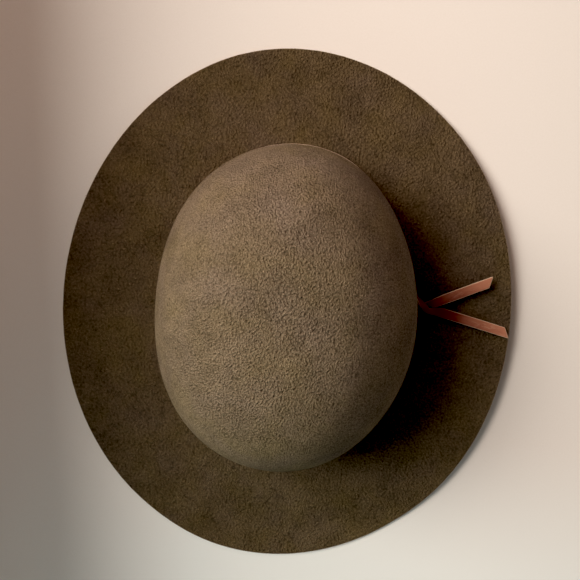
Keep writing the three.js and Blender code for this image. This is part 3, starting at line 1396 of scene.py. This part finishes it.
@dataclass
class LeatherLace:
    """The lace: one flat strap round the crown's foot, tied in a half knot with two tails.

    Its lengths are in millimetres, as in its rows.
    """

    form: FeltForm
    finish: Material
    width: float = 6.4
    thickness: float = 1.7
    gap: float = 0.35
    height: float = 15.9
    height_waves: Tuple[Wave, ...] = (Wave(1, 0.5, 60),)
    slack: float = 0.25
    slack_degrees: float = 66.0
    slack_reach_degrees: float = 8.0
    band_from_degrees: float = 17.0
    band_to_degrees: float = 349.0
    band_step_degrees: float = 1.5
    knot_steps: int = 12
    front_slant: float = -5.1
    back_slant: float = 4.8
    slant_fade: float = 9.0
    section_sides: int = 36
    rows: int = 900
    doming: float = 0.16
    squareness: float = 7.0
    side_from: float = 0.9
    side_rate: float = 25.0

    def smooth(self, strand: Sequence[StrapRow], last: StrapRow) -> np.ndarray:
        """Rounds a strand's rows with a curve through each of them.

        Args:
            strand: The rows, from the free end.
            last: The row of the band that the strand ends in.

        Returns:
            One row of numbers for each step, in the order of StrapRow.
        """
        table = np.array([astuple(row) for row in (*strand, last)])
        padded = np.vstack([table[:1], table, table[-1:]])
        slopes = (padded[2:] - padded[:-2]) / 2
        t = (np.arange(self.knot_steps) / self.knot_steps)[:, None]
        made = [
            start * (1 - 3 * t**2 + 2 * t**3)
            + end * (3 * t**2 - 2 * t**3)
            + leaving * (t - 2 * t**2 + t**3)
            + arriving * (t**3 - t**2)
            for start, end, leaving, arriving in zip(table, table[1:], slopes, slopes[1:])
        ]
        return np.vstack([*made, table[-1:]])

    def band(self) -> List[StrapRow]:
        """The stretch of the lace that stands against the crown.

        Returns:
            Its rows, from the knot round the back to the knot.
        """
        reach = self.band_to_degrees - self.band_from_degrees
        count = round(reach / self.band_step_degrees)
        rows = []
        for i in range(count + 1):
            degrees = self.band_from_degrees + reach * i / count
            angle = math.radians(degrees)
            off = (degrees - self.slack_degrees) / self.slack_reach_degrees
            stand_off = self.gap + self.thickness / 2 + self.slack * math.exp(-off * off)
            x, y = self.form.beside_foot(angle, stand_off * MM)
            z = self.height + wave_sum(self.height_waves, angle)
            rows.append(StrapRow(x / MM, y / MM, z, self.width, 90))
        return rows

    def rail(self) -> Mesh:
        """The line that the strap follows, with its width and its lie at each point.

        Returns:
            A mesh of edges from the front tail's end to the back tail's.
        """
        band = self.band()
        over = self.smooth(OVER_STRAND, band[0])
        under = self.smooth(UNDER_STRAND, band[-1])[::-1]
        rows = np.vstack([over, [astuple(row) for row in band[1:-1]], under])
        centres = rows[:, :3] * MM
        along = np.gradient(centres, axis=0)
        along /= np.linalg.norm(along, axis=1, keepdims=True)
        side = np.cross([0, 0, 1], along)
        side /= np.linalg.norm(side, axis=1, keepdims=True)
        stand = np.radians(rows[:, 4:5])
        across = np.cos(stand) * side + np.sin(stand) * np.cross(along, side)
        steps = np.linalg.norm(np.diff(centres, axis=0), axis=1)
        travel = np.concatenate([[0], np.cumsum(steps)])
        back = travel[-1] - travel
        fade = self.slant_fade * MM
        slant = self.front_slant * MM * np.clip(1 - travel / fade, 0, 1)
        slant += self.back_slant * MM * np.clip(1 - back / fade, 0, 1)
        mesh = mesh_from("lace_rail", centres, [], [(i, i + 1) for i in range(len(rows) - 1)])
        outer, width, from_end = np.cross(along, across), rows[:, 3] * MM, np.minimum(travel, back)
        values = (across, outer, width, slant, travel, from_end)
        for (name, kind), value in zip(RAIL_VALUES.items(), values):
            keep_attribute(mesh, name, value, kind)
        return mesh

    def sweep(self) -> Object:
        """Sweeps the strap's section along its rail with a node tree.

        Returns:
            The lace as one closed strap.
        """
        tree = GeometryTree("swept_strap")
        sides = tree.offer("Section Sides", InputKind.COUNT, self.section_sides)
        rows = tree.offer("Rows", InputKind.COUNT, self.rows)
        thickness = tree.length("Thickness", self.thickness * MM)
        squareness = tree.length("Squareness", self.squareness)
        doming = tree.length("Doming", self.doming * MM)
        rail = tree.add("GeometryNodeMeshToCurve", {"Mesh": tree.mesh}).outputs[0]
        tube = tree.add(
            "GeometryNodeMeshCylinder",
            {"Vertices": sides, "Side Segments": rows, "Radius": 1.0, "Depth": 1.0},
            fill_type="TRIANGLE_FAN",
        )
        x, y, z = tree.split(tree.position())
        share = unit(z + 0.5)
        middle = unit(square_root(x * x + y * y))
        turn = y.run(Op.ARCTANGENT, x)
        power = 2.0 / squareness
        acrossways = self.rounded(cosine(turn), power) * middle
        outwards = self.rounded(sine(turn), power) * middle
        nodes = [tree.along_curve(rail, name, kind, share) for name, kind in RAIL_VALUES.items()]
        across, outer, *numbers = (first_socket(node.outputs, "Value") for node in nodes)
        width, slant, travel, from_end = (Field(tree.tree, number) for number in numbers)
        reach = acrossways * width * 0.5
        lift = outwards * thickness * 0.5 - doming * acrossways * acrossways
        place = tree.sum(
            first_socket(nodes[0].outputs, "Position"),
            tree.scaled(across, reach),
            tree.scaled(outer, lift),
            tree.scaled(first_socket(nodes[0].outputs, "Tangent"), slant * acrossways * 0.5),
        )
        count = Field(tree.tree, rows)
        at_end = unit(1.0 - share * count) + unit(1.0 - (1.0 - share) * count)
        at_side = ramp(acrossways.run(Op.ABSOLUTE), self.side_from, self.side_rate)
        spot = tree.vector(travel, reach, outwards * thickness * 0.5)
        marked = first_socket(tube.outputs, "Mesh")
        for name, kind, value in (
            ("cut", Kind.NUMBER, unit(at_end + at_side)),
            ("from_end", Kind.NUMBER, from_end),
            ("strap", Kind.VECTOR, spot),
        ):
            marked = tree.store(marked, name, value, kind)
        return tree.run(self.rail(), tree.put(marked, place), "lace", self.finish)

    def rounded(self, value: Field, power: Field) -> Field:
        """Squares off a sine or a cosine, so that a circle becomes a soft-cornered oblong."""
        return value.run(Op.SIGN) * value.run(Op.ABSOLUTE) ** power

    def build(self) -> Object:
        """Builds the lace and lets it stand for its CAD solid."""
        return settle_piece(self.sweep(), "leather", "leather_lace")


def direction(azimuth: float, elevation: float) -> Vector:
    """The unit vector that has an azimuth and an elevation."""
    flat = math.cos(elevation)
    return Vector((flat * math.cos(azimuth), flat * math.sin(azimuth), math.sin(elevation)))


@dataclass(frozen=True)
class Viewpoint:
    """The camera, nearly straight above the crown, as a hand holds it over the hat."""

    place: Tuple[float, float, float] = (-1.913 * MM, 46.708 * MM, 391.9 * MM)
    pitch_degrees: float = 4.726
    lean_degrees: float = 4.92
    lens: float = 35.317
    sensor: float = 36.0
    nearest: float = 10 * MM

    def build(self) -> Object:
        """Makes the scene's camera.

        Returns:
            The camera.
        """
        lean = math.radians(self.lean_degrees)
        right = direction(lean, 0.0)
        ahead = direction(lean - QUARTER, math.radians(self.pitch_degrees) - QUARTER)
        camera = show("camera", bpy.data.cameras.new("camera"))
        camera.data.lens = self.lens
        camera.data.sensor_width = self.sensor
        camera.data.clip_start = self.nearest
        turn = Matrix((right, right.cross(ahead), -ahead)).transposed()
        camera.matrix_world = Matrix.Translation(self.place) @ turn.to_4x4()
        bpy.context.scene.camera = camera
        return camera


@dataclass(frozen=True)
class Lamp:
    """A soft round lamp: where it stands, in degrees and metres from the hat, and its light."""

    name: str
    azimuth_degrees: float
    elevation_degrees: float
    distance: float
    size: float
    power: float
    colour: Colour
    aim: Tuple[float, float, float] = (0.0, 0.0, 0.03)

    def build(self) -> Object:
        """Makes the lamp, turned towards its aim and hidden from the camera.

        Returns:
            The lamp.
        """
        away = direction(math.radians(self.azimuth_degrees), math.radians(self.elevation_degrees))
        light = bpy.data.lights.new(self.name, "AREA")
        light.shape = "DISK"
        light.size = self.size
        light.energy = self.power
        light.color = self.colour
        lamp = show(self.name, light)
        lamp.location = Vector(self.aim) + away * self.distance
        lamp.rotation_euler = (-away).to_track_quat("-Z", "Y").to_euler()
        lamp.visible_camera = False
        return lamp


@dataclass
class Studio:
    """A pale floor, a soft key lamp, weak fills, and a card that shades the picture's left side."""

    floor_finish: Material
    wall_finish: Material
    floor_half: float = 3.0
    floor_drop: float = 0.2 * MM
    card_x: float = -0.252
    card_half_length: float = 1.0
    card_height: float = 0.1825
    card_lean_degrees: float = 6.2
    backdrop_radius: float = 1.6
    backdrop_height: float = 2.4
    backdrop_sides: int = 96
    air: Colour = (0.140, 0.105, 0.088)
    black_point: Colour = (0.0165, 0.0145, 0.0108)
    lamps: Tuple[Lamp, ...] = (
        Lamp("key", 160.0, 40.0, 2.2, 1.4, 71.5, (1.0, 0.89, 0.79)),
        Lamp("warm_fill", 118.0, 45.0, 0.8, 0.3, 0.9, (1.0, 0.58, 0.42)),
        Lamp("cool_fill", -114.0, 40.0, 0.6, 0.3, 0.32, (0.5, 0.95, 1.0)),
        Lamp("right_fill", 15.0, 14.0, 0.6, 0.3, 0.15, (1.0, 0.88, 0.60)),
    )

    def stand(
        self, name: str, points: Sequence[Point3], faces: Sequence[Sequence[int]], finish: Material
    ) -> Object:
        """Makes a part of the stage.

        Args:
            name: Its name.
            points: Its points.
            faces: Each face's points, in order.
            finish: Its material.

        Returns:
            The stage's part.
        """
        part = show(name, mesh_from(name, np.array(points), faces))
        part.data.materials.append(finish)
        return part

    def board(self, name: str, corners: Sequence[Point3]) -> Object:
        """A flat board of the stage, from its four corners in order."""
        return self.stand(name, corners, [(0, 1, 2, 3)], self.floor_finish)

    def backdrop(self) -> Object:
        """A round wall far behind the floor, which only the camera sees.

        Returns:
            The wall.
        """
        sides = self.backdrop_sides
        points = []
        faces = []
        for side in range(sides):
            turn = 2 * math.pi * side / sides
            x, y = self.backdrop_radius * math.cos(turn), self.backdrop_radius * math.sin(turn)
            points += [(x, y, -self.floor_drop), (x, y, self.backdrop_height)]
            after = (side + 1) % sides
            faces.append((2 * side, 2 * side + 1, 2 * after + 1, 2 * after))
        wall = self.stand("backdrop", points, faces, self.wall_finish)
        wall.visible_diffuse = False
        wall.visible_glossy = False
        wall.visible_shadow = False
        return wall

    def build(self) -> None:
        """Sets up the floor, the lamps, the card and the air."""
        half, down = self.floor_half, -self.floor_drop
        signs = ((-1, -1), (1, -1), (1, 1), (-1, 1))
        self.board("floor", [(half * along, half * back, down) for along, back in signs])
        lean = math.tan(math.radians(self.card_lean_degrees)) * self.card_half_length
        near, far = self.card_x + lean, self.card_x - lean
        reach, top = self.card_half_length, self.card_height
        card = self.board(
            "card", [(near, -reach, 0.0), (far, reach, 0.0), (far, reach, top), (near, -reach, top)]
        )
        card.visible_camera = False
        self.backdrop()
        for lamp in self.lamps:
            lamp.build()
        world = bpy.data.worlds.new("air")
        world.use_nodes = True
        world.node_tree.nodes["Background"].inputs["Color"].default_value = (*self.air, 1.0)
        bpy.context.scene.world = world
        view = bpy.context.scene.view_settings
        view.view_transform = "Standard"
        view.look = "None"
        view.use_curve_mapping = True
        view.curve_mapping.black_level = self.black_point
        view.curve_mapping.update()
        log.info("studio: floor, card and %d lamps", len(self.lamps))


def main() -> None:
    """Builds the hat, piece by piece, and the studio round it."""
    logging.basicConfig(level=logging.INFO, format="%(name)s: %(message)s")
    log.info("frame: %s", ", ".join(sorted(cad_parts)))
    Viewpoint().build()
    form = FeltForm()
    felt = FeltBody(form, WoolFelt().make()).build()
    LeatherLace(form, LaceLeather().make()).build()
    Nap(WoolFibre().make()).build(felt)
    Studio(PaleFloor().make(), PaleWall().make()).build()


if __name__ == "__main__":
    main()
